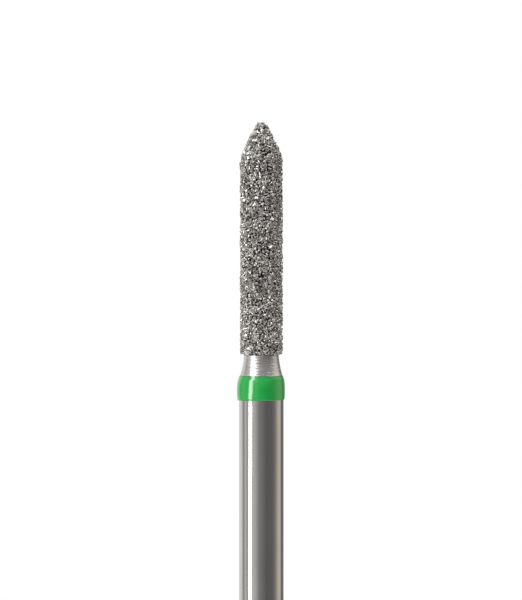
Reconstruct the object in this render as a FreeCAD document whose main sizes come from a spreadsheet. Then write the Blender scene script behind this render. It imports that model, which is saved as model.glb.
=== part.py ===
import FreeCAD, Part
import math
import os
import random
import Sketcher

# A friction-grip diamond bur with a pointed cylinder head, in three pieces:
# steel_blank is the shank, neck and core, turned in one piece.
# diamond_coating is one layer of grit, held on the core by plated metal.
# colour_ring is the painted ring that tells how coarse the grit is.
# The bur stands on the end of its shank. Its axis is Z, its point is up, and the origin is at the centre
# of the shank's end.

# Driving dimensions in millimetres, and one angle in degrees
DRIVING = {
    # Blank
    "shank_diameter": 1.6,
    "shank_length": 11.0,  # from its end to the ring
    "end_chamfer": 0.2,
    "neck_length": 0.73,  # bare steel from the ring to the coating
    "flare_radius": 3.5,  # hollow curve of the neck, from the core out to the shank
    "core_diameter": 1.22,
    "core_tip_radius": 0.1,
    "point_angle": 54.0,  # between opposite sides of the point
    "point_blend_radius": 1.0,  # where the core's side turns into its point
    # Ring
    "ring_width": 0.92,
    "ring_overlap": 0.13,  # from the shank's shoulder up onto the neck
    "ring_thickness": 0.046,  # at its crown, on the shank
    "ring_crown_height": 0.31,  # from its lower edge to its crown
    "ring_lower_edge": 0.032,  # thickness above its rounded lower edge
    "ring_upper_edge": 0.01,  # thickness where it lies on the neck
    "ring_edge_round": 0.025,
    # Coating
    "head_length": 8.35,  # from the coating's lower end to the top of its point
    "grit_height": 0.155,  # tallest grains, above the core
    "bond_height": 0.08,  # plated metal between the grains
    "coat_end_height": 0.045,  # the coating's lower end, above the neck
    "grain_spacing": 0.1,  # between the corners of the grains
}

# How many parts the ring's two crown arcs are drawn in, below and above its crown
LOW_PARTS = 2
HIGH_PARTS = 4

# The coating's skin is a net of points, in rings. Some are corners of grains, and the rest lie in the bond
# between them. These shares are of the points, of the two heights and of the spacing.
GRAIN_SHARE = 0.45
SHORTEST_GRAIN = 0.75
LOWEST_BOND = 0.8
STRAY = 0.3
FEWEST_IN_RING = 4
GRAIN_SEED = 7
SEW_TOLERANCE = 1e-5

# Which point of a sketch's line or arc a constraint means, and the sketch's own origin and upright axis
START, END, CENTRE = 1, 2, 3
ORIGIN = (-1, 1)
UPRIGHT_AXIS = -2


class Sizes:
    """The sheet's values, and the places that follow from them."""

    def __init__(self, sheet):
        for name in DRIVING:
            setattr(self, name, float(sheet.get(name)))
        self.shank_radius = self.shank_diameter / 2
        self.core_radius = self.core_diameter / 2
        self.half_point = math.radians(self.point_angle / 2)
        self.flare_axis_radius = self.core_radius + self.flare_radius

        # Heights above the shank's end
        self.ring_top = self.shank_length + self.ring_width
        self.shoulder = self.ring_top - self.ring_overlap
        self.coat_end = self.ring_top + self.neck_length
        step = self.shank_radius - self.core_radius
        self.flare_top = self.shoulder + math.sqrt(2 * self.flare_radius * step - step**2)
        self.core_tip = self.coat_end + self.head_length - self.grit_height
        self.tip_centre = self.core_tip - self.core_tip_radius
        reach = self.core_radius * math.cos(self.half_point) - self.core_tip_radius
        self.point_base = self.tip_centre - reach / math.sin(self.half_point)

    def flare_drop_angle(self, height):
        """How far round the hollow curve of the neck a height lies, from the curve's upper end."""
        return math.asin(max(self.flare_top - height, 0) / self.flare_radius)

    def neck_radius(self, height):
        """The steel's radius at a height on the neck."""
        return self.flare_axis_radius - self.flare_radius * math.cos(self.flare_drop_angle(height))


def fill_sheet(doc):
    """Puts the driving dimensions in the document's sheet, each under its own alias."""
    sheet = doc.addObject("Spreadsheet::Sheet", "sizes")
    for row, (name, value) in enumerate(DRIVING.items(), start=1):
        sheet.set(f"A{row}", name)
        sheet.set(f"B{row}", str(value))
        sheet.setAlias(f"B{row}", name)
    doc.recompute()
    return sheet


def make_body(doc, name):
    body = doc.addObject("PartDesign::Body", name)
    body.Label = name
    return body


def make_sketch(body, name):
    """A sketch on the body's own XZ plane, where across is the radius and up is the height."""
    sketch = body.newObject("Sketcher::SketchObject", name)
    plane = next(f for f in body.Origin.OriginFeatures if f.Role == "XZ_Plane")
    sketch.AttachmentSupport = (plane, [""])
    sketch.MapMode = "FlatFace"
    return sketch


def at(across, up):
    return FreeCAD.Vector(across, up, 0)


def sketch_arc(centre, radius, start_angle, end_angle):
    """An arc that runs anticlockwise between two angles from the sketch's across axis."""
    circle = Part.Circle(centre, FreeCAD.Vector(0, 0, 1), radius)
    return Part.ArcOfCircle(circle, start_angle, end_angle)


def relate(sketch, kind, *places):
    sketch.addConstraint(Sketcher.Constraint(kind, *places))


def give_size(sketch, name, expression, kind, *places):
    """Adds a named dimension that follows the sheet."""
    value = sketch.evalExpression(expression)
    index = sketch.addConstraint(Sketcher.Constraint(kind, *places, value))
    sketch.renameConstraint(index, name)
    sketch.setExpression(f"Constraints.{name}", expression)


def revolve(body, sketch, name):
    """Turns a profile round the sketch's upright axis."""
    turned = body.newObject("PartDesign::Revolution", name)
    turned.Profile = sketch
    turned.ReferenceAxis = (sketch, ["V_Axis"])
    turned.Angle = 360
    body.Document.recompute()
    return turned


def level_edge(feature, radius, height):
    """The name of the level circular edge that lies nearest to a radius and height."""
    misses = {}
    for number, edge in enumerate(feature.Shape.Edges, start=1):
        circle = None if edge.Degenerated else edge.Curve
        if isinstance(circle, Part.Circle) and abs(circle.Axis.z) > 0.5:
            misses[f"Edge{number}"] = abs(circle.Radius - radius) + abs(circle.Center.z - height)
    return min(misses, key=misses.get)


def dress_edge(body, kind, name, base, edge, size_property, expression):
    """Adds a chamfer or fillet on one edge of the feature before it."""
    dressed = body.newObject(kind, name)
    dressed.Base = (base, [edge])
    dressed.setExpression(size_property, expression)
    body.Document.recompute()
    return dressed


def draw_blank(sketch, sizes):
    """The turned outline, from the shank's end up to the core's tip and back down the axis."""
    flare_centre = at(sizes.flare_axis_radius, sizes.flare_top)
    shoulder_angle = math.pi + sizes.flare_drop_angle(sizes.shoulder)
    tip_centre = at(0, sizes.tip_centre)
    tip_side = sizes.core_tip_radius * math.cos(sizes.half_point)
    tip_rise = sizes.core_tip_radius * math.sin(sizes.half_point)
    end_corner = at(sizes.shank_radius, 0)
    shoulder = at(sizes.shank_radius, sizes.shoulder)
    point_base = at(sizes.core_radius, sizes.point_base)
    tip_foot = at(tip_side, sizes.tip_centre + tip_rise)
    core_tip = at(0, sizes.core_tip)
    end, shank, flare, core, point, tip, axis = sketch.addGeometry(
        [
            Part.LineSegment(at(0, 0), end_corner),
            Part.LineSegment(end_corner, shoulder),
            sketch_arc(flare_centre, sizes.flare_radius, math.pi, shoulder_angle),
            Part.LineSegment(at(sizes.core_radius, sizes.flare_top), point_base),
            Part.LineSegment(point_base, tip_foot),
            sketch_arc(tip_centre, sizes.core_tip_radius, sizes.half_point, math.pi / 2),
            Part.LineSegment(core_tip, at(0, 0)),
        ]
    )
    relate(sketch, "Coincident", end, START, *ORIGIN)
    relate(sketch, "Coincident", end, END, shank, START)
    relate(sketch, "Coincident", shank, END, flare, END)
    relate(sketch, "Tangent", flare, START, core, START)
    relate(sketch, "Coincident", core, END, point, START)
    relate(sketch, "Tangent", point, END, tip, START)
    relate(sketch, "Coincident", tip, END, axis, START)
    relate(sketch, "Coincident", axis, END, *ORIGIN)
    relate(sketch, "Horizontal", end)
    relate(sketch, "Vertical", shank)
    relate(sketch, "Vertical", core)
    relate(sketch, "Vertical", axis)
    relate(sketch, "PointOnObject", tip, CENTRE, UPRIGHT_AXIS)

    ring_top = "sizes.shank_length + sizes.ring_width"
    head_top = f"{ring_top} + sizes.neck_length + sizes.head_length"
    give_size(sketch, "shank_radius", "sizes.shank_diameter / 2", "DistanceX", *ORIGIN, end, END)
    give_size(sketch, "shoulder", f"{ring_top} - sizes.ring_overlap", "DistanceY", *ORIGIN, shank, END)
    give_size(sketch, "flare_radius", "sizes.flare_radius", "Radius", flare)
    give_size(sketch, "core_radius", "sizes.core_diameter / 2", "DistanceX", *ORIGIN, core, END)
    give_size(sketch, "point_lean", "90 deg + sizes.point_angle / 2 * 1 deg", "Angle", point)
    give_size(sketch, "tip_radius", "sizes.core_tip_radius", "Radius", tip)
    give_size(sketch, "tip_height", f"{head_top} - sizes.grit_height", "DistanceY", *ORIGIN, tip, END)


def make_blank(doc, sizes):
    """The shank, neck and core, turned from one bar."""
    body = make_body(doc, "steel_blank")
    sketch = make_sketch(body, "blank_profile")
    draw_blank(sketch, sizes)
    turned = revolve(body, sketch, "turned_blank")
    end_edge = level_edge(turned, sizes.shank_radius, 0)
    chamfered = dress_edge(
        body, "PartDesign::Chamfer", "end_edge", turned, end_edge, "Size", "sizes.end_chamfer"
    )
    point_edge = level_edge(chamfered, sizes.core_radius, sizes.point_base)
    dress_edge(
        body, "PartDesign::Fillet", "point_blend", chamfered, point_edge, "Radius", "sizes.point_blend_radius"
    )
    return body


def crown_arc(crown, edge):
    """The circle that stands upright at the crown and passes through the end of the bulge."""
    inset = crown.x - edge.x
    rise = edge.y - crown.y
    radius = (inset**2 + rise**2) / (2 * inset)
    return at(crown.x - radius, crown.y), radius, math.asin(rise / radius)


def rising_arcs(centre, radius, heights):
    """A long shallow arc as several that share its centre, so that a mesh of the ring follows its bend."""
    angles = [math.asin((height - centre.y) / radius) for height in heights]
    return [sketch_arc(centre, radius, *ends) for ends in zip(angles, angles[1:])]


def heights_between(foot, top, parts):
    """Evenly spaced heights from foot to top, both included."""
    return [foot + (top - foot) * part / parts for part in range(parts + 1)]


def join_arcs(sketch, name, arcs, foot, top):
    """Joins the parts of one arc end to end, and drives the heights at which they meet."""
    for part, (arc, following) in enumerate(zip(arcs, arcs[1:]), 1):
        relate(sketch, "Coincident", arc, END, following, START)
        relate(sketch, "Coincident", arc, CENTRE, following, CENTRE)
        height = f"{foot} + ({top} - ({foot})) * {part} / {len(arcs)}"
        give_size(sketch, f"{name}_{part}", height, "DistanceY", *ORIGIN, arc, END)


def draw_ring(sketch, sizes):
    """The ring's section. Two arcs that meet at its crown bulge over the shank, and an even skin goes on
    over the shoulder and up the neck."""
    foot = at(sizes.shank_radius, sizes.shank_length)
    shoulder = at(sizes.shank_radius, sizes.shoulder)
    crown = at(sizes.shank_radius + sizes.ring_thickness, sizes.shank_length + sizes.ring_crown_height)
    round_centre = at(
        sizes.shank_radius + sizes.ring_lower_edge - sizes.ring_edge_round,
        sizes.shank_length + sizes.ring_edge_round,
    )
    flare_centre = at(sizes.flare_axis_radius, sizes.flare_top)
    skin_radius = sizes.flare_radius - sizes.ring_upper_edge

    def on_neck(height, radius):
        """A point at a height on a curve round the neck's own centre, and its angle there."""
        angle = math.pi + math.asin((sizes.flare_top - height) / radius)
        return at(flare_centre.x + radius * math.cos(angle), height), angle

    skin_top, skin_start = on_neck(sizes.ring_top, skin_radius)
    skin_foot, skin_end = on_neck(sizes.shoulder, skin_radius)
    neck_top, flare_start = on_neck(sizes.ring_top, sizes.flare_radius)
    flare_end = on_neck(sizes.shoulder, sizes.flare_radius)[1]
    bulge_start = round_centre + at(sizes.ring_edge_round, 0)
    low_centre, low_radius, low_angle = crown_arc(crown, bulge_start)
    high_centre, high_radius = crown_arc(crown, skin_foot)[:2]
    low_heights = heights_between(bulge_start.y, crown.y, LOW_PARTS)
    high_heights = heights_between(crown.y, skin_foot.y, HIGH_PARTS)
    lows = sketch.addGeometry(rising_arcs(low_centre, low_radius, low_heights))
    highs = sketch.addGeometry(rising_arcs(high_centre, high_radius, high_heights))
    low, crown_foot, crown_top, high = lows[0], lows[-1], highs[0], highs[-1]
    lower, edge, skin, upper, flare, shank = sketch.addGeometry(
        [
            Part.LineSegment(foot, round_centre - at(0, sizes.ring_edge_round)),
            sketch_arc(round_centre, sizes.ring_edge_round, -math.pi / 2, low_angle),
            sketch_arc(flare_centre, skin_radius, skin_start, skin_end),
            Part.LineSegment(skin_top, neck_top),
            sketch_arc(flare_centre, sizes.flare_radius, flare_start, flare_end),
            Part.LineSegment(shoulder, foot),
        ]
    )
    relate(sketch, "Tangent", lower, END, edge, START)
    relate(sketch, "Tangent", edge, END, low, START)
    relate(sketch, "Tangent", crown_foot, END, crown_top, START)
    relate(sketch, "Coincident", high, END, skin, END)
    relate(sketch, "Coincident", skin, START, upper, START)
    relate(sketch, "Coincident", upper, END, flare, START)
    relate(sketch, "Coincident", flare, END, shank, START)
    relate(sketch, "Coincident", shank, END, lower, START)
    relate(sketch, "Coincident", skin, CENTRE, flare, CENTRE)
    relate(sketch, "Horizontal", lower)
    relate(sketch, "Horizontal", upper)
    relate(sketch, "Vertical", shank)
    relate(sketch, "Horizontal", crown_foot, CENTRE, crown_foot, END)
    relate(sketch, "Horizontal", high, END, shank, START)

    shank_radius = "sizes.shank_diameter / 2"
    ring_top = "sizes.shank_length + sizes.ring_width"
    flare_axis = "sizes.core_diameter / 2 + sizes.flare_radius"
    lower_radius = f"{shank_radius} + sizes.ring_lower_edge"
    crown_radius = f"{shank_radius} + sizes.ring_thickness"
    crown_height = "sizes.shank_length + sizes.ring_crown_height"
    skin_bend = "sizes.flare_radius - sizes.ring_upper_edge"
    give_size(sketch, "shank_radius", shank_radius, "DistanceX", *ORIGIN, lower, START)
    give_size(sketch, "foot", "sizes.shank_length", "DistanceY", *ORIGIN, lower, START)
    give_size(sketch, "edge_round", "sizes.ring_edge_round", "Radius", edge)
    give_size(sketch, "lower_radius", lower_radius, "DistanceX", *ORIGIN, low, START)
    give_size(sketch, "crown_radius", crown_radius, "DistanceX", *ORIGIN, crown_foot, END)
    give_size(sketch, "crown_height", crown_height, "DistanceY", *ORIGIN, crown_foot, END)
    give_size(sketch, "ring_top", ring_top, "DistanceY", *ORIGIN, upper, START)
    give_size(sketch, "shoulder", f"{ring_top} - sizes.ring_overlap", "DistanceY", *ORIGIN, shank, START)
    give_size(sketch, "flare_radius", "sizes.flare_radius", "Radius", flare)
    give_size(sketch, "flare_axis", flare_axis, "DistanceX", *ORIGIN, flare, CENTRE)
    give_size(sketch, "skin_bend", skin_bend, "Radius", skin)
    join_arcs(sketch, "low_join", lows, "sizes.shank_length + sizes.ring_edge_round", crown_height)
    join_arcs(sketch, "high_join", highs, crown_height, f"{ring_top} - sizes.ring_overlap")


def make_ring(doc, sizes):
    """The painted ring, which lies on the shank's top end and the foot of the neck."""
    body = make_body(doc, "colour_ring")
    sketch = make_sketch(body, "ring_profile")
    draw_ring(sketch, sizes)
    revolve(body, sketch, "turned_ring")
    return body


def profile_arc(centre, radius, start_angle, end_angle):
    """An arc in the XZ plane, between two angles from the X axis."""
    middle_angle = (start_angle + end_angle) / 2
    ends_and_middle = [
        centre + FreeCAD.Vector(radius * math.cos(angle), 0, radius * math.sin(angle))
        for angle in (start_angle, middle_angle, end_angle)
    ]
    return Part.Arc(*ends_and_middle).toShape()


def bond_line(sizes):
    """The profile of the plated metal between the grains, from the coating's lower end to its point."""
    above = sizes.bond_height
    edges = []
    if sizes.coat_end < sizes.flare_top:
        flare_centre = FreeCAD.Vector(sizes.flare_axis_radius, 0, sizes.flare_top)
        flare_radius = sizes.flare_radius - above
        drop_angle = math.asin((sizes.flare_top - sizes.coat_end) / flare_radius)
        edges.append(profile_arc(flare_centre, flare_radius, math.pi + drop_angle, math.pi))
    blend_reach = sizes.point_blend_radius * math.tan(sizes.half_point / 2)
    blend_centre = FreeCAD.Vector(
        sizes.core_radius - sizes.point_blend_radius, 0, sizes.point_base - blend_reach
    )
    blend = profile_arc(blend_centre, sizes.point_blend_radius + above, 0, sizes.half_point)
    tip_centre = FreeCAD.Vector(0, 0, sizes.tip_centre)
    tip = profile_arc(tip_centre, sizes.core_tip_radius + above, sizes.half_point, math.pi / 2)
    side_foot = FreeCAD.Vector(sizes.core_radius + above, 0, max(sizes.coat_end, sizes.flare_top))
    edges.append(Part.makeLine(side_foot, blend.firstVertex().Point))
    edges.append(blend)
    edges.append(Part.makeLine(blend.lastVertex().Point, tip.firstVertex().Point))
    edges.append(tip)
    return Part.Wire(edges)


def lay_grains(sizes):
    """The coating's outer points, and the rings that they form, from its lower end up to its point.

    Each ring is a list of its points' turns round the axis, from 0 to 1, with their numbers.
    """
    chance = random.Random(GRAIN_SEED)
    spacing = sizes.grain_spacing
    line = bond_line(sizes)
    steps = round(line.Length / (spacing * math.sqrt(3) / 2))
    places = line.discretize(Number=steps + 1)
    places[0].x = sizes.neck_radius(sizes.coat_end) + sizes.coat_end_height

    points, rings = [], []
    for row in range(steps):
        place = places[row]
        along = (places[row + 1] - places[max(row - 1, 0)]).normalize()
        count = max(FEWEST_IN_RING, round(2 * math.pi * place.x / spacing))
        ring = []
        for number in range(count):
            height = sizes.bond_height * chance.uniform(LOWEST_BOND, 1)
            if chance.random() < GRAIN_SHARE:
                height = sizes.grit_height * chance.uniform(SHORTEST_GRAIN, 1)
            shift = spacing * chance.uniform(-STRAY, STRAY)
            turn = (number + row % 2 / 2 + chance.uniform(-STRAY, STRAY)) / count
            if row == 0:
                height, shift = sizes.bond_height, 0
            raised = height - sizes.bond_height
            radius = place.x + raised * along.z + shift * along.x
            level = place.z - raised * along.x + shift * along.z
            angle = 2 * math.pi * turn
            points.append(FreeCAD.Vector(radius * math.cos(angle), radius * math.sin(angle), level))
            ring.append((turn, len(points) - 1))
        rings.append(ring)
    points.append(FreeCAD.Vector(0, 0, sizes.core_tip + sizes.grit_height))
    rings.append([(0, len(points) - 1)])
    return points, rings


def join_rings(lower, upper):
    """Triangles that fill the band between two rings, each in the order of its turns."""
    low, high = (
        [*ring, (ring[0][0] + 1, ring[0][1])] if len(ring) > 1 else ring for ring in (lower, upper)
    )
    i = j = 0
    triangles = []
    while i < len(low) - 1 or j < len(high) - 1:
        if i == len(low) - 1 or (j < len(high) - 1 and high[j + 1][0] < low[i + 1][0]):
            triangles.append((low[i][1], high[j + 1][1], high[j][1]))
            j += 1
        else:
            triangles.append((low[i][1], low[i + 1][1], high[j][1]))
            i += 1
    return triangles


def make_coating(doc, sizes, blank):
    """One layer of grains in plated metal: a faceted skin, hollowed by the core that it lies on."""
    points, rings = lay_grains(sizes)
    triangles = []
    for lower, upper in zip(rings, rings[1:]):
        triangles += join_rings(lower, upper)
    skin = Part.Shape()
    skin.makeShapeFromMesh((points, triangles), SEW_TOLERANCE)
    rim = [points[number] for turn, number in rings[0]]
    lower_end = Part.Face(Part.makePolygon([*rim, rim[0]]))
    closed = Part.Compound([*skin.Faces, lower_end])
    closed.sewShape(SEW_TOLERANCE)

    coating = doc.addObject("Part::Feature", "diamond_coating")
    coating.Label = "diamond_coating"
    coating.Shape = Part.Solid(closed.Shells[0]).cut(blank.Shape).Solids[0]
    return coating


def check(doc, pieces):
    """Stops if a feature has failed, a sketch is loose or a piece isn't one sound solid."""
    for item in doc.Objects:
        if {"Invalid", "Error"} & set(item.State):
            raise RuntimeError(f"{item.Name} has failed")
        if item.isDerivedFrom("Sketcher::SketchObject") and not item.FullyConstrained:
            raise RuntimeError(f"{item.Name} isn't fully constrained")
    for piece in pieces:
        shape = piece.Shape
        if shape.isNull() or not shape.isValid() or len(shape.Solids) != 1:
            raise RuntimeError(f"{piece.Label} isn't one sound solid")


doc = FreeCAD.newDocument("dental_bur")
sizes = Sizes(fill_sheet(doc))
blank = make_blank(doc, sizes)
ring = make_ring(doc, sizes)
coating = make_coating(doc, sizes, blank)
pieces = [blank, ring, coating]
for piece in pieces:
    piece.Placement = FreeCAD.Placement()
doc.recompute()
check(doc, pieces)

os.makedirs("parts", exist_ok=True)
for piece in pieces:
    piece.Shape.exportStep(f"parts/{piece.Label}.step")
    box = piece.Shape.optimalBoundingBox()
    print(
        f"{piece.Label}: {piece.Shape.Volume:.3f} mm3, {len(piece.Shape.Faces)} faces,"
        f" across {box.XLength:.3f}, from {box.ZMin:.3f} to {box.ZMax:.3f}"
    )
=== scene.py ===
import math
import random

import bmesh
import bpy
from mathutils import Matrix, Quaternion, Vector, kdtree, noise


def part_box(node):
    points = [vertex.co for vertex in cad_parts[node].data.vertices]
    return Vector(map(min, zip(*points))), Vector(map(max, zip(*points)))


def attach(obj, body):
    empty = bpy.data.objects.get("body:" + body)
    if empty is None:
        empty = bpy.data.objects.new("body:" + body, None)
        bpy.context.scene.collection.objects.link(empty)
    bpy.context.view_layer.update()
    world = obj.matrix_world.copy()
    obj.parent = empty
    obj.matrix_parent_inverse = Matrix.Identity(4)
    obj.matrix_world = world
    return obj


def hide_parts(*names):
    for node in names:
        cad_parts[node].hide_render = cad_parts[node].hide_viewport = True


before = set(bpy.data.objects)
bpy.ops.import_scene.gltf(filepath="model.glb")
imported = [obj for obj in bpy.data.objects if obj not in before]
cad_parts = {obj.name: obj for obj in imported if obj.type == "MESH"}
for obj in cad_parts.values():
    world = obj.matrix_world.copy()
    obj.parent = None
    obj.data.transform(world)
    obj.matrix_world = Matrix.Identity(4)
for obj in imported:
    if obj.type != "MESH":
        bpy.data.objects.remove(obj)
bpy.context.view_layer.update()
blank_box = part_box("steel_blank")
ring_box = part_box("colour_ring")
coat_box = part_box("diamond_coating")

MM = 0.001

# Places of the pieces along the axis
SHANK_TOP = ring_box[0].z
RING_TOP = ring_box[1].z
COAT_END = coat_box[0].z
TIP = coat_box[1].z

# Turned blank
SHANK_RADIUS = blank_box[1].x
END_CHAMFER = 0.2 * MM
RING_OVERLAP = 0.13 * MM  # from the shank's shoulder up onto the neck
SHOULDER = RING_TOP - RING_OVERLAP
FLARE_RADIUS = 3.5 * MM
CORE_RADIUS = 0.61 * MM
CORE_TIP_RADIUS = 0.1 * MM
HALF_POINT = math.radians(27)
POINT_BLEND = 1.0 * MM
NECK_UNDER_COAT = 0.06 * MM
CORE_UNDER_COAT = 0.1 * MM
END_CENTRE = 0.05 * MM  # radius of the face that closes the mesh at the shank's end
TIP_CENTRE = 0.01 * MM  # and at the core's tip
BLANK_AROUND = 192
BLANK_ROWS = 40
BLANK_SHARP_ANGLE = 35
FLARE_CENTRE_X = CORE_RADIUS + FLARE_RADIUS
FLARE_TOP = SHOULDER + math.sqrt(FLARE_RADIUS**2 - (FLARE_CENTRE_X - SHANK_RADIUS) ** 2)

# Turning marks on the neck, wound round it like a thread
MARK_PITCH = 0.1 * MM
MARK_DEPTH = 0.0017 * MM
ROWS_PER_MARK = 9
MARK_STRAY = 1.2  # from an even thread, in radians
STRAY_ROUND = 3
STRAY_ALONG = 0.8
PATCH_FINENESS = 1.7
# A mark's depth as shares of MARK_DEPTH: everywhere, from patch to patch, and where the tool chattered
EVEN_DEPTH = 0.3
PATCHY_DEPTH = 0.6
CHATTER_DEPTH = 1.6
CHATTER_AT = math.radians(-107)
CHATTER_WIDTH = math.radians(13)

# Painted ring
RING_THICKNESS = 0.046 * MM
RING_CROWN = 0.31 * MM  # above its lower edge
RING_LOWER_EDGE = 0.036 * MM
RING_EDGE_RISE = 0.065 * MM
RING_UPPER_EDGE = 0.016 * MM
RING_UPPER_ROUND = 0.004 * MM
RING_FOOT_LIFT = 0.042 * MM
RING_LIFT_AT = math.radians(-60)
RING_WOBBLE = 0.008 * MM
RING_UPPER_WOBBLE = 0.006 * MM
LONG_WAVES = 1.3
FINE_WAVES = 4
FINE_SHARE = 0.4
RING_SEAT = 0.002 * MM  # how deep its hidden side lies in the steel
# Its thickness varies round the bur by these shares: one side to the other, in waves, and at random
RING_LEAN = 0.36
RING_RIPPLE = 0.45
RING_RIPPLES = 4
RING_RIPPLE_TURN = math.radians(33)
RING_ROUGHNESS = 0.07
RING_AROUND = 192
RING_EDGE_ROWS = 8
RING_LOW_ROWS = 12
RING_HIGH_ROWS = 14
RING_NECK_ROWS = 5
RING_SHARP_ANGLE = 50

# One grain, in shares of its size
GRAIN_SHAPES = 48
BLOCK_SIDES = (0.8, 1.15)
BREAKS = 8
BREAK_DEPTH = (0.36, 0.5)  # from the block's centre
EDGE_WEAR = 0.078
SHORTEST_EDGE = 0.02
OUTSIDE = 0.004  # how far past a side a corner is taken away
FLAT_ANGLE = math.radians(4)
SAME_WAY = 0.995  # cosine of the widest angle between two normals that point the same way

# Diamond coating
GRIT_HEIGHT = 0.155 * MM
TALLEST_GRAIN = 1.13 * GRIT_HEIGHT
GRAIN_HEIGHTS = (0.84, 1.08)
GRAIN_SIZE = 0.137 * MM
SIZE_SPREAD = 0.17
SIZE_LIMITS = (0.65, 1.35)
GRAIN_GAP = 0.086 * MM
GAP_HEIGHT = 0.09 * MM  # above the core, where the gap is measured
GRAIN_TRIES = 60000
GRAIN_SEED = 11
COAT_SWELL = 0.016 * MM
SWELL_LENGTH = MM / 0.9
COAT_EDGE_ROUND = 0.11 * MM
COAT_EDGE_DROP = 0.06 * MM
# Lowest glint value of a worn edge face, which brightens its colour as a painted highlight
WORN_EDGE_PAINTED_GLINT = 0.78
GRAIN_PARTS = ("lower_grains", "middle_grains", "upper_grains")

# The coating's lower edge, which is ragged and hangs lower at the front
END_GAP = 0.07 * MM
END_RIPPLE = 0.025 * MM
END_RIPPLES = 2.2
END_HANGING = 0.06 * MM
HANGING_AT = math.radians(277)
HANGING_WIDTH = 0.5

# Plated metal between the grains
BOND_HEIGHT = 0.036 * MM
BOND_START = -0.035 * MM
BOND_SINK = 0.012 * MM
BOND_RAGGED = 0.02 * MM
BOND_RIPPLES = 5
BOND_EDGE_BELOW = 0.03 * MM
BOND_EDGE_WIDTH = 0.07 * MM
BOND_CREEP = 0.05 * MM
CREEP_REACH = 0.062 * MM
CREEP_AT = 0.2  # above a grain's centre, as a share of its size
NODULE_HEIGHT = 0.007 * MM
NODULE_SIZE = 0.05 * MM
BOND_AROUND = 150
BOND_ROWS = 290

# What the steel sees round it: (angle from the camera's side, to the right, in degrees; brightness; tint)
NEUTRAL = (1.0, 1.0, 1.0)
CREAM = (1.02, 1.0, 0.97)
BEIGE = (1.06, 0.99, 0.87)
PLUM = (1.03, 0.96, 1.03)
STUDIO_WALLS = (
    (-180, 0.80, NEUTRAL),
    (-150, 0.84, NEUTRAL),
    (-128, 0.90, CREAM),
    (-116, 0.66, CREAM),
    (-107, 0.32, CREAM),
    (-99, 0.42, CREAM),
    (-90, 0.68, CREAM),
    (-82, 0.50, CREAM),
    (-72, 0.42, CREAM),
    (-46, 0.64, CREAM),
    (-34, 0.57, CREAM),
    (-24, 0.44, NEUTRAL),
    (-12, 0.27, NEUTRAL),
    (6, 0.21, NEUTRAL),
    (26, 0.138, NEUTRAL),
    (56, 0.15, PLUM),
    (72, 0.21, CREAM),
    (84, 0.36, BEIGE),
    (99, 0.60, BEIGE),
    (113, 0.60, BEIGE),
    (121, 0.36, CREAM),
    (130, 0.12, PLUM),
    (144, 0.20, PLUM),
    (166, 0.50, NEUTRAL),
    (180, 0.80, NEUTRAL),
)
UPPER_WALLS = (
    (-180, 0.75, NEUTRAL),
    (-58, 0.75, NEUTRAL),
    (-46, 2.6, NEUTRAL),
    (-34, 2.6, NEUTRAL),
    (-18, 0.75, NEUTRAL),
    (60, 0.75, NEUTRAL),
    (88, 1.5, CREAM),
    (115, 1.5, CREAM),
    (140, 1.4, NEUTRAL),
    (160, 0.9, NEUTRAL),
    (180, 0.75, NEUTRAL),
)
UPPER_SHARE = 0.34
HIGH_WALLS = (
    (-180, 0.9, NEUTRAL),
    (-80, 0.9, NEUTRAL),
    (-62, 2.0, NEUTRAL),
    (-30, 2.0, NEUTRAL),
    (-8, 0.45, NEUTRAL),
    (38, 0.45, NEUTRAL),
    (60, 3.2, CREAM),
    (112, 3.2, CREAM),
    (138, 0.9, NEUTRAL),
    (180, 0.9, NEUTRAL),
)
CEILING = 0.9
GROUND = 0.25

# What dull surfaces see, level with the bur and overhead
SOFT_LEVEL = 0.54
SOFT_CEILING = 0.95

# Elevations in degrees from which and to which each of these takes over from what lies nearer the horizon
UPPER_RISE = (4, 24)
HIGH_RISE = (36, 50)
CEILING_RISE = (60, 78)
GROUND_FALL = (28, 60)
SOFT_RISE = (10, 70)

# Softbox, in degrees round the bur and above the horizon
STRIP_FROM = -66
STRIP_TO = -50
STRIP_BOTTOM = -14
STRIP_TOP = 36
STRIP_LEAN = 14
STRIP_RADIANCE = 6.0
SOFTBOX_DISTANCE = 120 * MM
SOFTBOX_AIM = 0.6 * TIP

# Floor
FLOOR_RINGS = (0.003 * MM, 6 * MM, 15 * MM)
FLOOR_AROUND = 96
FLOOR_DROP = 0.002 * MM
FLOOR_GLOW = 0.34
MIRRORED_FLOOR_GLOW = 0.05

# Photograph's framing: where the axis and the point stand in it, and its scale
PHOTO_WIDTH = 522
PHOTO_HEIGHT = 600
PIXELS_PER_MM = 27.9125
AXIS_AT = 261.35
POINT_AT = 121.9
CAMERA_LENS = 120.0
SENSOR = 36.0
NEAREST_SEEN = 1 * MM
FARTHEST_SEEN = 10.0

chance = random.Random(GRAIN_SEED)


# Meshes

def spread(start, end, parts):
    """Even steps from start to end, both included."""
    return [start + (end - start) * part / parts for part in range(parts + 1)]


def noise_round(angle, fineness, height):
    """Smooth noise that closes on itself round the axis."""
    return noise.noise(Vector((math.cos(angle) * fineness, math.sin(angle) * fineness, height)))


def band(low, high, around):
    """The faces between two rings of points, each given by its first point's number."""
    faces = []
    for step in range(around):
        after = (step + 1) % around
        faces.append((low + step, low + after, high + after, high + step))
    return faces


def new_mesh(name, points, faces):
    """A mesh from its points and faces."""
    mesh = bpy.data.meshes.new(name)
    mesh.from_pydata(points, [], faces)
    mesh.update()
    return mesh


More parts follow.
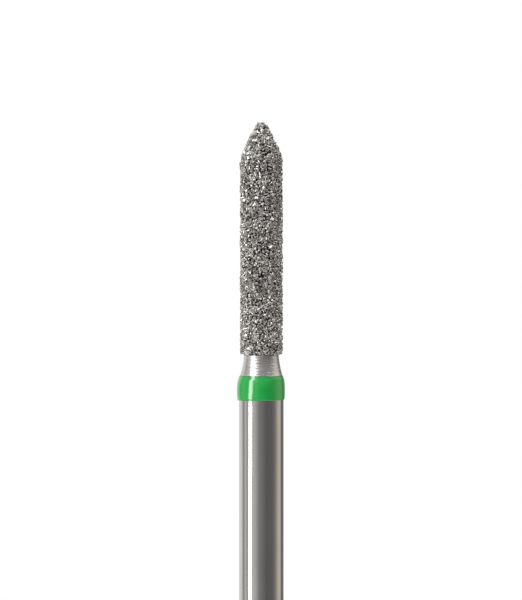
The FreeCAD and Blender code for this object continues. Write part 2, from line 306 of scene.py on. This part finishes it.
def lathe(name, rows, around, closed_loop=False):
    """A turned mesh. Each row gives radius and height as functions of the turn's angle, or as numbers."""
    points = []
    for radius, height in rows:
        for step in range(around):
            angle = math.tau * step / around
            r = radius(angle) if callable(radius) else radius
            z = height(angle) if callable(height) else height
            points.append((r * math.cos(angle), r * math.sin(angle), z))
    last = (len(rows) - 1) * around
    faces = []
    for low in range(0, last, around):
        faces += band(low, low + around, around)
    if closed_loop:
        faces += band(last, 0, around)
    else:
        faces.append(tuple(reversed(range(around))))
        faces.append(tuple(range(last, last + around)))
    return new_mesh(name, points, faces)


def shade_smooth_by_angle(mesh, degrees):
    """Smooth shading with the sharp edges kept."""
    mesh.polygons.foreach_set("use_smooth", [True] * len(mesh.polygons))
    mesh.set_sharp_from_angle(angle=math.radians(degrees))


def flare_radius(height, outward=0.0):
    """The neck's radius at a height, or that of a skin lying on it."""
    bend = FLARE_RADIUS - outward
    return FLARE_CENTRE_X - math.sqrt(bend**2 - (FLARE_TOP - height) ** 2)


def core_outline():
    """The core's outline from the coating's end to its tip, as a function, and its length."""
    sphere_z = TIP - GRIT_HEIGHT - CORE_TIP_RADIUS
    cone_top = Vector((math.cos(HALF_POINT), math.sin(HALF_POINT))) * CORE_TIP_RADIUS
    cone_top.y += sphere_z
    cone_length = (CORE_RADIUS - cone_top.x) / math.sin(HALF_POINT)
    corner_z = cone_top.y - cone_length * math.cos(HALF_POINT)
    trim = POINT_BLEND * math.tan(HALF_POINT / 2)
    side = corner_z - trim - COAT_END
    blend = POINT_BLEND * HALF_POINT
    cone = cone_length - trim
    cap = CORE_TIP_RADIUS * (math.pi / 2 - HALF_POINT)
    centre = Vector((CORE_RADIUS - POINT_BLEND, corner_z - trim))

    def at(distance):
        """Radius, height and outward normal at a distance."""
        if distance < side:
            return CORE_RADIUS, COAT_END + distance, Vector((1, 0))
        distance -= side
        if distance < blend:
            angle = distance / POINT_BLEND
            normal = Vector((math.cos(angle), math.sin(angle)))
            place = centre + normal * POINT_BLEND
            return place.x, place.y, normal
        distance -= blend
        normal = Vector((math.cos(HALF_POINT), math.sin(HALF_POINT)))
        if distance < cone:
            down = Vector((math.sin(HALF_POINT), -math.cos(HALF_POINT)))
            place = cone_top + down * (cone - distance)
            return place.x, place.y, normal
        angle = HALF_POINT + min((distance - cone) / CORE_TIP_RADIUS, math.pi / 2 - HALF_POINT)
        normal = Vector((math.cos(angle), math.sin(angle)))
        place = Vector((0, sphere_z)) + normal * CORE_TIP_RADIUS
        return max(place.x, 0), place.y, normal

    return at, side + blend + cone + cap


def blank_mesh():
    """Shank, neck and core, with the marks that turning leaves on the neck."""
    def mark(angle, z):
        """A mark's height, deeper in some places than in others."""
        turns = z / MARK_PITCH - angle / math.tau
        round_it = Vector((math.cos(angle), math.sin(angle), 0)) * STRAY_ROUND
        place = round_it + Vector((0, 0, z / MARK_PITCH * STRAY_ALONG))
        off_chatter = (angle - CHATTER_AT + math.pi) % math.tau - math.pi
        chatter = CHATTER_DEPTH * math.exp(-((off_chatter / CHATTER_WIDTH) ** 2))
        depth = EVEN_DEPTH + PATCHY_DEPTH * noise.noise(place * PATCH_FINENESS) + chatter
        return MARK_DEPTH * depth * math.sin(math.tau * turns + MARK_STRAY * noise.noise(place))

    rows = [(END_CENTRE, 0.0), (SHANK_RADIUS - END_CHAMFER, 0.0)]
    rows += [(SHANK_RADIUS, z) for z in spread(END_CHAMFER, SHOULDER, BLANK_ROWS)]
    neck_rows = int((COAT_END - SHOULDER) / MARK_PITCH * ROWS_PER_MARK)
    for z in spread(SHOULDER, COAT_END + NECK_UNDER_COAT, neck_rows)[1:]:
        rows.append((lambda angle, z=z: flare_radius(z) + mark(angle, z), z))
    along, length = core_outline()
    for distance in spread(CORE_UNDER_COAT, length, BLANK_ROWS):
        r, z, _ = along(distance)
        rows.append((max(r, TIP_CENTRE), z))
    mesh = lathe("turned_blank", rows, BLANK_AROUND)
    shade_smooth_by_angle(mesh, BLANK_SHARP_ANGLE)
    return mesh


def ring_mesh():
    """The painted ring: brushed on, so its lower edge and its thickness wander a little."""
    def wander(seed, size):
        """A height that wanders round the ring, in long waves with finer ones on them."""
        def value(angle):
            fine = FINE_SHARE * noise_round(angle, FINE_WAVES, seed + 9)
            return size * (noise_round(angle, LONG_WAVES, seed) + fine)
        return value

    wobble = wander(seed=1.7, size=RING_WOBBLE)
    skin_wander = wander(seed=5.2, size=RING_ROUGHNESS)
    upper_wander = wander(seed=8.1, size=RING_UPPER_WOBBLE)
    crown_r = SHANK_RADIUS + RING_THICKNESS
    edge_r = SHANK_RADIUS + RING_LOWER_EDGE
    shoulder_r = flare_radius(SHOULDER, RING_UPPER_EDGE)
    foot_z = SHANK_TOP + RING_WOBBLE / 2
    edge_z = foot_z + RING_EDGE_RISE
    crown_z = SHANK_TOP + RING_CROWN

    def foot_rise(angle):
        """How far the lower edge, which runs a little askew, lies above its lowest place."""
        return RING_FOOT_LIFT * (1 + math.cos(angle - RING_LIFT_AT)) / 2 + wobble(angle)

    def depth(angle):
        """How thick the paint is at an angle, as a share of its even thickness."""
        ripple = RING_RIPPLE * math.cos(RING_RIPPLES * angle - RING_RIPPLE_TURN)
        return 1 - RING_LEAN * math.cos(angle) + ripple + skin_wander(angle)

    def row(radius, height, share):
        """A row of the paint's outer side. Its share is how much of the lower edge's rise it takes."""
        return (
            lambda angle: SHANK_RADIUS + (radius - SHANK_RADIUS) * depth(angle),
            lambda angle: height + foot_rise(angle) * share,
        )

    rows = [(SHANK_RADIUS - RING_SEAT, lambda angle: foot_z + foot_rise(angle))]
    for turn in spread(-90, 0, RING_EDGE_ROWS):
        a = math.radians(turn)
        r = SHANK_RADIUS + RING_LOWER_EDGE * math.cos(a)
        rows.append(row(r, foot_z + RING_EDGE_RISE * (1 + math.sin(a)), 1))
    for z in spread(edge_z, crown_z, RING_LOW_ROWS)[1:]:
        fall = (crown_z - z) / (crown_z - edge_z)
        rows.append(row(crown_r - (crown_r - edge_r) * fall**2, z, fall))
    for z in spread(crown_z, SHOULDER, RING_HIGH_ROWS)[1:]:
        rise = (z - crown_z) / (SHOULDER - crown_z)
        rows.append(row(crown_r - (crown_r - shoulder_r) * rise**3, z, 0))
    for z in spread(SHOULDER, RING_TOP - RING_UPPER_ROUND, RING_NECK_ROWS)[1:]:
        share = (z - SHOULDER) / (RING_TOP - SHOULDER)
        rows.append((
            lambda angle, z=z: flare_radius(z, RING_UPPER_EDGE * depth(angle)),
            lambda angle, z=z, share=share: z + upper_wander(angle) * share,
        ))
    rows.append((flare_radius(RING_TOP) - RING_SEAT, RING_TOP))
    rows.append((SHANK_RADIUS - RING_SEAT, SHOULDER))
    mesh = lathe("paint_ring", rows, RING_AROUND, closed_loop=True)
    shade_smooth_by_angle(mesh, RING_SHARP_ANGLE)
    return mesh


def convex_solid(corners):
    """The solid that a cloud of corners spans, with its flat sides whole."""
    hull = bmesh.new()
    for corner in corners:
        hull.verts.new(corner)
    bmesh.ops.convex_hull(hull, input=hull.verts)
    bmesh.ops.dissolve_limit(hull, angle_limit=FLAT_ANGLE, verts=hull.verts, edges=hull.edges)
    loose = [vert for vert in hull.verts if not vert.link_faces]
    bmesh.ops.delete(hull, geom=loose, context="VERTS")
    hull.normal_update()
    return hull


def crystal():
    """One grain about a unit across: a block with its corners broken off at random and its edges worn.

    It comes as points, faces and, for each face, whether it is a worn edge.
    """
    block = bmesh.new()
    bmesh.ops.create_cube(block, size=1.0)
    bmesh.ops.scale(block, vec=[chance.uniform(*BLOCK_SIDES) for _ in range(3)], verts=block.verts)
    for _ in range(BREAKS):
        normal = random_direction()
        depth = chance.uniform(*BREAK_DEPTH)
        done = bmesh.ops.bisect_plane(
            block, geom=block.verts[:] + block.edges[:] + block.faces[:], plane_co=normal * depth,
            plane_no=normal, clear_outer=True,
        )
        rim = [part for part in done["geom_cut"] if isinstance(part, bmesh.types.BMEdge)]
        if len(rim) > 2:
            bmesh.ops.edgeloop_fill(block, edges=rim)
    bmesh.ops.remove_doubles(block, verts=block.verts, dist=SHORTEST_EDGE)
    broken = convex_solid([vert.co for vert in block.verts])
    block.free()
    sides = [(face.normal.copy(), face.calc_center_median()) for face in broken.faces]
    bmesh.ops.bevel(broken, geom=broken.edges, offset=EDGE_WEAR, segments=1, affect="EDGES")
    kept = [
        vert.co for vert in broken.verts
        if all((vert.co - centre).dot(normal) < OUTSIDE for normal, centre in sides)
    ]
    grain = convex_solid(kept)
    broken.free()
    grain.verts.index_update()
    points = [vert.co.copy() for vert in grain.verts]
    faces = [[vert.index for vert in face.verts] for face in grain.faces]
    edges = [max(face.normal.dot(normal) for normal, _ in sides) < SAME_WAY for face in grain.faces]
    grain.free()
    return points, faces, edges


def random_direction():
    """A direction, any as likely as another."""
    return Vector([chance.gauss(0, 1) for _ in range(3)]).normalized()


def ragged_end(angle):
    """How far above the coating's end its lowest grains lie."""
    front = angle - HANGING_AT
    hanging = math.exp(-((front / HANGING_WIDTH) ** 4))
    return END_GAP + END_RIPPLE * noise_round(angle, END_RIPPLES, 4) - END_HANGING * hanging


def coat_places(along, length):
    """Where the grains sit, as (distance along the core, angle), no two nearer than the gap."""
    taken = {}
    places = []

    def cell(point):
        """The box of a grid in which a point lies."""
        return tuple(int(math.floor(value / GRAIN_GAP)) for value in point)

    for turn in range(GRAIN_TRIES):
        distance = chance.uniform(0, length) if turn else length
        r, z, normal = along(distance)
        seat_r = r + normal.x * GAP_HEIGHT
        if chance.random() > seat_r / (CORE_RADIUS + GAP_HEIGHT):
            continue
        angle = chance.uniform(0, math.tau)
        if distance < ragged_end(angle):
            continue
        seat = Vector((seat_r * math.cos(angle), seat_r * math.sin(angle), z + normal.y * GAP_HEIGHT))
        here = cell(seat)
        near = [
            other
            for dx in (-1, 0, 1) for dy in (-1, 0, 1) for dz in (-1, 0, 1)
            for other in taken.get((here[0] + dx, here[1] + dy, here[2] + dz), ())
        ]
        if all((other - seat).length > GRAIN_GAP for other in near):
            taken.setdefault(here, []).append(seat)
            places.append((distance, angle))
    return sorted(places)


def outward_at(normal, angle):
    """The outline's normal, turned round the axis."""
    return Vector((normal.x * math.cos(angle), normal.x * math.sin(angle), normal.y))


def grains_mesh(name, places, along, shapes):
    """The diamond grains: each a turned copy of one of the blocky shapes.

    With them come the places from which the plated metal creeps.
    """
    smallest, largest = SIZE_LIMITS
    points = []
    faces = []
    painted_glints = []
    creep_places = []
    for distance, angle in places:
        r, z, normal = along(distance)
        size = GRAIN_SIZE * min(max(chance.gauss(1, SIZE_SPREAD), smallest), largest)
        edge_share = min(distance / COAT_EDGE_ROUND, 1)
        swell = noise_round(angle, 1, distance / SWELL_LENGTH) * COAT_SWELL
        drop = (1 - edge_share) ** 1.5 * COAT_EDGE_DROP
        height = GRIT_HEIGHT * chance.uniform(*GRAIN_HEIGHTS) - drop + swell
        seat = height - size * 0.5
        out = outward_at(normal, angle)
        centre = Vector((r * math.cos(angle), r * math.sin(angle), z)) + out * seat
        turn = random_direction()
        pose = Matrix.Translation(centre) @ Matrix.Rotation(chance.uniform(0, math.tau), 4, turn)
        corners, sides, edges = chance.choice(shapes)
        grain = [pose @ (corner * size) for corner in corners]
        reach = max((place - centre).dot(out) for place in grain)
        too_far = max(reach - (TALLEST_GRAIN - seat), 0)
        first = len(points)
        points += [place - out * too_far for place in grain]
        faces += [[first + corner for corner in side] for side in sides]
        # Painted glints: worn edge faces get a high glint value that brightens their colour, other faces any
        # value down to painted shade.
        painted_glints += [chance.uniform(WORN_EDGE_PAINTED_GLINT, 1) if edge else chance.random() for edge in edges]
        creep_places.append(centre + out * (size * CREEP_AT))
    mesh = new_mesh(name, points, faces)
    painted_glint = mesh.attributes.new("painted_glint", "FLOAT", "FACE")
    painted_glint.data.foreach_set("value", painted_glints)
    return mesh, creep_places


def bond_mesh(along, length, creep_places):
    """The plated metal between the grains: it creeps up their sides and sags in the gaps."""
    tree = kdtree.KDTree(len(creep_places))
    for number, place in enumerate(creep_places):
        tree.insert(place, number)
    tree.balance()

    def skin(distance, angle):
        """The bond's surface above a place on the core."""
        r, z, normal = along(max(distance, 0))
        out = outward_at(normal, angle)
        foot = Vector((r * math.cos(angle), r * math.sin(angle), z + min(distance, 0)))
        ragged = noise_round(angle, BOND_RIPPLES, 1) * BOND_RAGGED
        edge = min(max((distance - ragged + BOND_EDGE_BELOW) / BOND_EDGE_WIDTH, 0), 1)
        near = tree.find(foot + out * BOND_HEIGHT)[2]
        creep = BOND_CREEP * math.exp(-((near / CREEP_REACH) ** 2))
        nodules = NODULE_HEIGHT * noise.noise(foot * (1 / NODULE_SIZE))
        height = (BOND_HEIGHT + creep + nodules) * math.sqrt(edge) - BOND_SINK * (1 - edge)
        return foot + out * height

    angles = [math.tau * step / BOND_AROUND for step in range(BOND_AROUND)]
    distances = spread(BOND_START, length, BOND_ROWS)[:-1]
    points = [skin(distance, angle) for distance in distances for angle in angles]
    tip = len(points)
    last = tip - BOND_AROUND
    points.append(skin(length, 0))
    faces = [tuple(reversed(range(BOND_AROUND)))]
    for low in range(0, last, BOND_AROUND):
        faces += band(low, low + BOND_AROUND, BOND_AROUND)
    faces += [(last + step, last + (step + 1) % BOND_AROUND, tip) for step in range(BOND_AROUND)]
    mesh = new_mesh("nickel_bond", points, faces)
    mesh.polygons.foreach_set("use_smooth", [True] * len(mesh.polygons))
    return mesh


# Node helpers

# A mix node's sockets for colours, which share their names with those for other kinds of value
COLOUR_A = 6
COLOUR_B = 7
MIXED_COLOUR = 2


def new_material(name):
    """A node material and its shader."""
    material = bpy.data.materials.new(name)
    material.use_nodes = True
    tree = material.node_tree
    return material, tree, tree.nodes["Principled BSDF"]


def add(tree, kind, **values):
    """A node, with its sockets set by name and its other settings by attribute."""
    node = tree.nodes.new(kind)
    for name, value in values.items():
        socket = name.replace("_", " ")
        if socket in node.inputs:
            node.inputs[socket].default_value = value
        else:
            setattr(node, name, value)
    return node


def feed(tree, socket, value):
    """Gives a socket what another node puts out, a number or, for a colour, a grey."""
    if isinstance(value, bpy.types.NodeSocket):
        tree.links.new(value, socket)
    elif socket.type == "RGBA":
        socket.default_value = (value, value, value, 1)
    else:
        socket.default_value = value


def calculate(tree, operation, *values):
    """The result of one operation on numbers or on what other nodes put out."""
    node = add(tree, "ShaderNodeMath", operation=operation)
    for socket, value in zip(node.inputs, values):
        feed(tree, socket, value)
    return node.outputs[0]


def mix_colours(tree, factor, first, second, blend_type="MIX"):
    """Two colours mixed by a factor."""
    node = add(tree, "ShaderNodeMix", data_type="RGBA", blend_type=blend_type)
    feed(tree, node.inputs["Factor"], factor)
    feed(tree, node.inputs[COLOUR_A], first)
    feed(tree, node.inputs[COLOUR_B], second)
    return node.outputs[MIXED_COLOUR]


def share_between(tree, source, low, high, **settings):
    """0 where a source is at one value, 1 where it is at another, and shares between them."""
    node = add(tree, "ShaderNodeMapRange", From_Min=low, From_Max=high, **settings)
    tree.links.new(source, node.inputs["Value"])
    return node.outputs["Result"]


def coordinates(tree, space):
    """The X, Y and Z of a place in one of the texture spaces."""
    place = add(tree, "ShaderNodeTexCoord")
    axes = add(tree, "ShaderNodeSeparateXYZ")
    tree.links.new(place.outputs[space], axes.inputs["Vector"])
    return axes.outputs


def stretched_noise(tree, stretch, scale, detail):
    """Noise in the object's own millimetres, stretched along an axis."""
    place = add(tree, "ShaderNodeTexCoord")
    mapping = add(tree, "ShaderNodeMapping")
    mapping.inputs["Scale"].default_value = [value / MM for value in stretch]
    texture = add(tree, "ShaderNodeTexNoise", Scale=scale, Detail=detail)
    tree.links.new(place.outputs["Object"], mapping.inputs["Vector"])
    tree.links.new(mapping.outputs["Vector"], texture.inputs["Vector"])
    return texture.outputs["Fac"]


def ramp(tree, source, stops):
    """A colour ramp with its stops as (place, colour or grey)."""
    node = add(tree, "ShaderNodeValToRGB")
    bar = node.color_ramp
    while len(bar.elements) < len(stops):
        bar.elements.new(0.5)
    for element, (place, colour) in zip(bar.elements, stops):
        element.position = place
        element.color = (*colour, 1) if isinstance(colour, tuple) else (colour, colour, colour, 1)
    tree.links.new(source, node.inputs["Fac"])
    return node.outputs["Color"]


def bump(tree, source, strength, distance, shader, under=None):
    """Bumps the shader's normal by a height, on top of another bump if there is one under it."""
    node = add(tree, "ShaderNodeBump", Strength=strength, Distance=distance)
    tree.links.new(source, node.inputs["Height"])
    if under:
        tree.links.new(under, node.inputs["Normal"])
    tree.links.new(node.outputs["Normal"], shader.inputs["Normal"])
    return node.outputs["Normal"]


# Materials

def ground_steel():
    """The ground shank: bright, with very fine marks round it and faint rubs from the chuck."""
    material, tree, shader = new_material("ground_steel")
    shader.inputs["Metallic"].default_value = 1.0
    round_marks = stretched_noise(tree, (0.9, 0.9, 42.0), 1.0, 6.0)
    rubs = stretched_noise(tree, (1.0, 1.0, 0.35), 1.4, 3.0)
    colour = ramp(tree, rubs, [(0.3, (0.61, 0.60, 0.59)), (0.7, (0.67, 0.66, 0.65))])
    tree.links.new(colour, shader.inputs["Base Color"])
    roughness = ramp(tree, round_marks, [(0.3, 0.08), (0.7, 0.11)])
    tree.links.new(roughness, shader.inputs["Roughness"])
    bump(tree, round_marks, 0.07, 0.0008 * MM, shader)
    return material


def turned_steel():
    """The turned neck: duller than the shank, with broken tool marks round it."""
    material, tree, shader = new_material("turned_steel")
    shader.inputs["Metallic"].default_value = 1.0
    tool_marks = stretched_noise(tree, (3.4, 3.4, 17.0), 1.0, 3.0)
    grain = stretched_noise(tree, (1.0, 1.0, 1.6), 16.0, 3.0)
    colour = ramp(tree, tool_marks, [(0.32, (0.58, 0.565, 0.55)), (0.68, (0.74, 0.72, 0.71))])
    tree.links.new(colour, shader.inputs["Base Color"])
    roughness = ramp(tree, grain, [(0.3, 0.2), (0.7, 0.32)])
    tree.links.new(roughness, shader.inputs["Roughness"])
    marks = bump(tree, tool_marks, 0.9, 0.010 * MM, shader)
    bump(tree, grain, 0.3, 0.003 * MM, shader, under=marks)
    return material


def paint_material():
    """Glossy baked paint, slightly uneven in depth of colour, with painted shade along its two edges."""
    material, tree, shader = new_material("green_paint")
    depth = stretched_noise(tree, (1.0, 1.0, 1.6), 1.6, 3.0)
    colour = ramp(tree, depth, [(0.3, (0.001, 0.385, 0.052)), (0.7, (0.008, 0.45, 0.062))])
    # Painted shade: the colour is darkened in thin bands at the ring's lower and upper edges.
    height = share_between(tree, coordinates(tree, "Object")["Z"], SHANK_TOP, RING_TOP)
    edges = ramp(
        tree, height,
        [(0.0, 0.12), (0.03, 0.3), (0.06, 0.95), (0.10, 1.0), (0.94, 1.0), (0.965, 0.9), (0.985, 0.4)],
    )
    tree.links.new(mix_colours(tree, 1.0, colour, edges, "MULTIPLY"), shader.inputs["Base Color"])
    gloss = stretched_noise(tree, (1.0, 1.0, 1.0), 5.0, 3.0)
    roughness = ramp(tree, gloss, [(0.35, 0.09), (0.65, 0.13)])
    tree.links.new(roughness, shader.inputs["Roughness"])
    shader.inputs["IOR"].default_value = 1.55
    shader.inputs["Coat Weight"].default_value = 0.9
    shader.inputs["Coat Roughness"].default_value = 0.09
    peel = stretched_noise(tree, (1.0, 1.0, 1.0), 3.2, 2.0)
    bump(tree, peel, 0.025, 0.004 * MM, shader)
    return material


def grain_material():
    """Diamond grains. Each has its own grey, and each of its faces glints or stays dark.

    Both are painted into the colour: a random value per face brightens it as a painted glint or darkens it
    as painted shade, and the worn edges get bright painted glints.
    """
    material, tree, shader = new_material("diamond_grains")
    geometry = add(tree, "ShaderNodeNewGeometry")
    tint = ramp(
        tree, geometry.outputs["Random Per Island"],
        [
            (0.0, (0.46, 0.43, 0.40)),
            (0.5, (0.60, 0.575, 0.545)),
            (0.85, (0.72, 0.695, 0.66)),
            (1.0, (0.82, 0.80, 0.75)),
        ],
    )
    # Painted glints and painted shade: each face's glint value sets how bright its colour is, from near
    # black to brighter than white.
    faces = add(tree, "ShaderNodeAttribute", attribute_name="painted_glint")
    shade = ramp(
        tree, faces.outputs["Fac"],
        [(0.0, 0.02), (0.5, 0.11), (0.72, 0.38), (0.84, 0.9), (1.0, 1.25)],
    )
    tree.links.new(mix_colours(tree, 1.0, tint, shade, "MULTIPLY"), shader.inputs["Base Color"])
    shader.inputs["Metallic"].default_value = 0.64
    shader.inputs["IOR"].default_value = 2.4
    pits = stretched_noise(tree, (1.0, 1.0, 1.0), 24.0, 4.0)
    roughness = ramp(tree, pits, [(0.3, 0.18), (0.7, 0.36)])
    tree.links.new(roughness, shader.inputs["Roughness"])
    bump(tree, pits, 0.7, 0.007 * MM, shader)
    return material


def bond_painted_shade_material():
    """Plated metal between the grains: dull and nodular, coloured near black as painted shade for the gaps
    between the grains, with deeper painted shade in its hollows.
    """
    material, tree, shader = new_material("nickel_bond")
    nodules = stretched_noise(tree, (1.0, 1.0, 1.0), 22.0, 5.0)
    # Painted shade: a near-black colour for the metal in the gaps, darkest where the nodules dip.
    colour = ramp(tree, nodules, [(0.3, (0.025, 0.024, 0.022)), (0.7, (0.10, 0.096, 0.09))])
    tree.links.new(colour, shader.inputs["Base Color"])
    shader.inputs["Metallic"].default_value = 1.0
    roughness = ramp(tree, nodules, [(0.3, 0.5), (0.7, 0.34)])
    tree.links.new(roughness, shader.inputs["Roughness"])
    bump(tree, nodules, 0.6, 0.006 * MM, shader)
    return material


def floor_material():
    """A white floor, which still takes the bur's shadow."""
    material, tree, shader = new_material("white_floor")
    tint = stretched_noise(tree, (0.05, 0.05, 0.05), 1.0, 2.0)
    colour = ramp(tree, tint, [(0.3, 0.78), (0.7, 0.82)])
    tree.links.new(colour, shader.inputs["Base Color"])
    shader.inputs["Roughness"].default_value = 1.0
    shader.inputs["Specular IOR Level"].default_value = 0.0
    path = add(tree, "ShaderNodeLightPath")
    mirrored = calculate(tree, "MAXIMUM", path.outputs["Is Glossy Ray"], path.outputs["Is Transmission Ray"])
    faint = calculate(tree, "MULTIPLY", mirrored, MIRRORED_FLOOR_GLOW)
    glow = calculate(tree, "MULTIPLY_ADD", path.outputs["Is Camera Ray"], FLOOR_GLOW, faint)
    shader.inputs["Emission Color"].default_value = (1, 1, 1, 1)
    tree.links.new(glow, shader.inputs["Emission Strength"])
    return material


# Bur

def link(name, mesh, node):
    """An object that rides on the bur and stands for a node."""
    piece = bpy.data.objects.new(name, mesh)
    bpy.context.scene.collection.objects.link(piece)
    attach(piece, "root")
    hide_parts(node)
    return piece


def dress(thing, *materials):
    """Gives an object its materials, and no others."""
    thing.data.materials.clear()
    for material in materials:
        thing.data.materials.append(material)


def build_blank():
    """The blank, ground up to its shoulder and turned above it."""
    blank = link("turned_blank", blank_mesh(), "steel_blank")
    dress(blank, ground_steel(), turned_steel())
    for face in blank.data.polygons:
        face.material_index = int(face.center.z > SHOULDER)


def build_ring():
    """The colour ring."""
    ring = link("paint_ring", ring_mesh(), "colour_ring")
    dress(ring, paint_material())


def build_coating():
    """The grains, in parts from the lower edge to the tip, and the metal that holds them."""
    along, length = core_outline()
    places = coat_places(along, length)
    shapes = [crystal() for _ in range(GRAIN_SHAPES)]
    paint = grain_material()
    creep_places = []
    share = math.ceil(len(places) / len(GRAIN_PARTS))
    for number, part in enumerate(GRAIN_PARTS):
        part_places = places[number * share : (number + 1) * share]
        mesh, part_creep = grains_mesh(part, part_places, along, shapes)
        creep_places += part_creep
        dress(link(part, mesh, "diamond_coating"), paint)
    bond = link("nickel_bond", bond_mesh(along, length, creep_places), "diamond_coating")
    dress(bond, bond_painted_shade_material())


# Studio

def studio_world():
    """White to the camera. Metal sees the studio's walls, and dull surfaces get an even light."""
    world = bpy.data.worlds.new("studio")
    bpy.context.scene.world = world
    world.use_nodes = True
    tree = world.node_tree
    tree.nodes.clear()
    output = add(tree, "ShaderNodeOutputWorld")
    x, y, z = coordinates(tree, "Generated")
    towards = calculate(tree, "MULTIPLY", y, -1.0)
    turn = calculate(tree, "ARCTAN2", x, towards)
    share = share_between(tree, turn, -math.pi, math.pi)
    height = calculate(tree, "ARCSINE", z)
    below = calculate(tree, "MULTIPLY", height, -1.0)

    def round_the_bur(walls):
        """Brightness by direction, from a list of walls."""
        stops = [((angle + 180) / 360, tuple(level * part for part in tint)) for angle, level, tint in walls]
        return ramp(tree, share, stops)

    def beyond(limits, source):
        """0 up to one elevation and 1 from another on, in degrees."""
        start, end = (math.radians(limit) for limit in limits)
        return share_between(tree, source, start, end, interpolation_type="SMOOTHSTEP")

    fill = calculate(tree, "MULTIPLY", beyond(UPPER_RISE, height), UPPER_SHARE)
    metal = mix_colours(tree, fill, round_the_bur(STUDIO_WALLS), round_the_bur(UPPER_WALLS))
    metal = mix_colours(tree, beyond(HIGH_RISE, height), metal, round_the_bur(HIGH_WALLS))
    metal = mix_colours(tree, beyond(CEILING_RISE, height), metal, CEILING)
    metal = mix_colours(tree, beyond(GROUND_FALL, below), metal, GROUND)
    soft = mix_colours(tree, beyond(SOFT_RISE, height), SOFT_LEVEL, SOFT_CEILING)

    path = add(tree, "ShaderNodeLightPath")
    lit = mix_colours(tree, path.outputs["Is Glossy Ray"], soft, metal)
    seen = calculate(tree, "MAXIMUM", path.outputs["Is Camera Ray"], path.outputs["Is Transmission Ray"])
    shade = add(tree, "ShaderNodeBackground", Strength=1.0)
    tree.links.new(mix_colours(tree, seen, lit, 1.0), shade.inputs["Color"])
    tree.links.new(shade.outputs["Background"], output.inputs["Surface"])
    world.cycles.sampling_method = "NONE"


def softbox(name, start, end, bottom, top, lean, radiance):
    """A softbox between two directions and two elevations, in degrees, leaning to the right."""
    lean = math.radians(lean)
    rise = math.radians((top + bottom) / 2)
    middle = math.radians((start + end) / 2) + rise * math.tan(lean)
    half_width = math.radians((end - start) / 2) * math.cos(lean)
    half_height = math.radians((top - bottom) / 2) / math.cos(lean)
    width = 2 * SOFTBOX_DISTANCE * math.tan(half_width)
    height = 2 * SOFTBOX_DISTANCE * math.tan(half_height)
    light = bpy.data.lights.new(name, "AREA")
    light.shape = "RECTANGLE"
    light.size = width
    light.size_y = height
    light.energy = radiance * math.pi * width * height
    lamp = bpy.data.objects.new(name, light)
    away = Vector((math.sin(middle) * math.cos(rise), -math.cos(middle) * math.cos(rise), math.sin(rise)))
    lamp.location = Vector((0, 0, SOFTBOX_AIM)) + away * SOFTBOX_DISTANCE
    face_bur = away.to_track_quat("Z", "Y")
    lamp.rotation_euler = (face_bur @ Quaternion((0, 0, 1), -lean)).to_euler()
    lamp.visible_camera = False
    bpy.context.scene.collection.objects.link(lamp)


def lay_floor():
    """A round white floor, just under the bur's end."""
    angles = [math.tau * step / FLOOR_AROUND for step in range(FLOOR_AROUND)]
    points = [(radius * math.cos(a), radius * math.sin(a), 0.0) for radius in FLOOR_RINGS for a in angles]
    faces = [tuple(range(FLOOR_AROUND))]
    for low in range(0, len(points) - FLOOR_AROUND, FLOOR_AROUND):
        faces += band(low, low + FLOOR_AROUND, FLOOR_AROUND)
    floor = bpy.data.objects.new("floor", new_mesh("floor", points, faces))
    bpy.context.scene.collection.objects.link(floor)
    floor.location.z = -FLOOR_DROP
    dress(floor, floor_material())


def set_camera():
    """A level camera in front, framed as the photograph is, whose lower edge crops the shank."""
    data = bpy.data.cameras.new("camera")
    data.lens = CAMERA_LENS
    data.sensor_width = SENSOR
    frame_height = PHOTO_HEIGHT / PIXELS_PER_MM * MM
    distance = frame_height * CAMERA_LENS / SENSOR
    data.clip_start = NEAREST_SEEN
    data.clip_end = FARTHEST_SEEN
    camera = bpy.data.objects.new("camera", data)
    x = (PHOTO_WIDTH / 2 - AXIS_AT) / PIXELS_PER_MM * MM
    z = TIP - (PHOTO_HEIGHT / 2 - POINT_AT) / PIXELS_PER_MM * MM
    camera.location = (x, -distance, z)
    camera.rotation_euler = (math.pi / 2, 0, 0)
    bpy.context.scene.collection.objects.link(camera)
    bpy.context.scene.camera = camera


bpy.context.scene.view_settings.view_transform = "Standard"

build_blank()
build_ring()
build_coating()
studio_world()
softbox("tall_strip", STRIP_FROM, STRIP_TO, STRIP_BOTTOM, STRIP_TOP, STRIP_LEAN, STRIP_RADIANCE)
lay_floor()
set_camera()
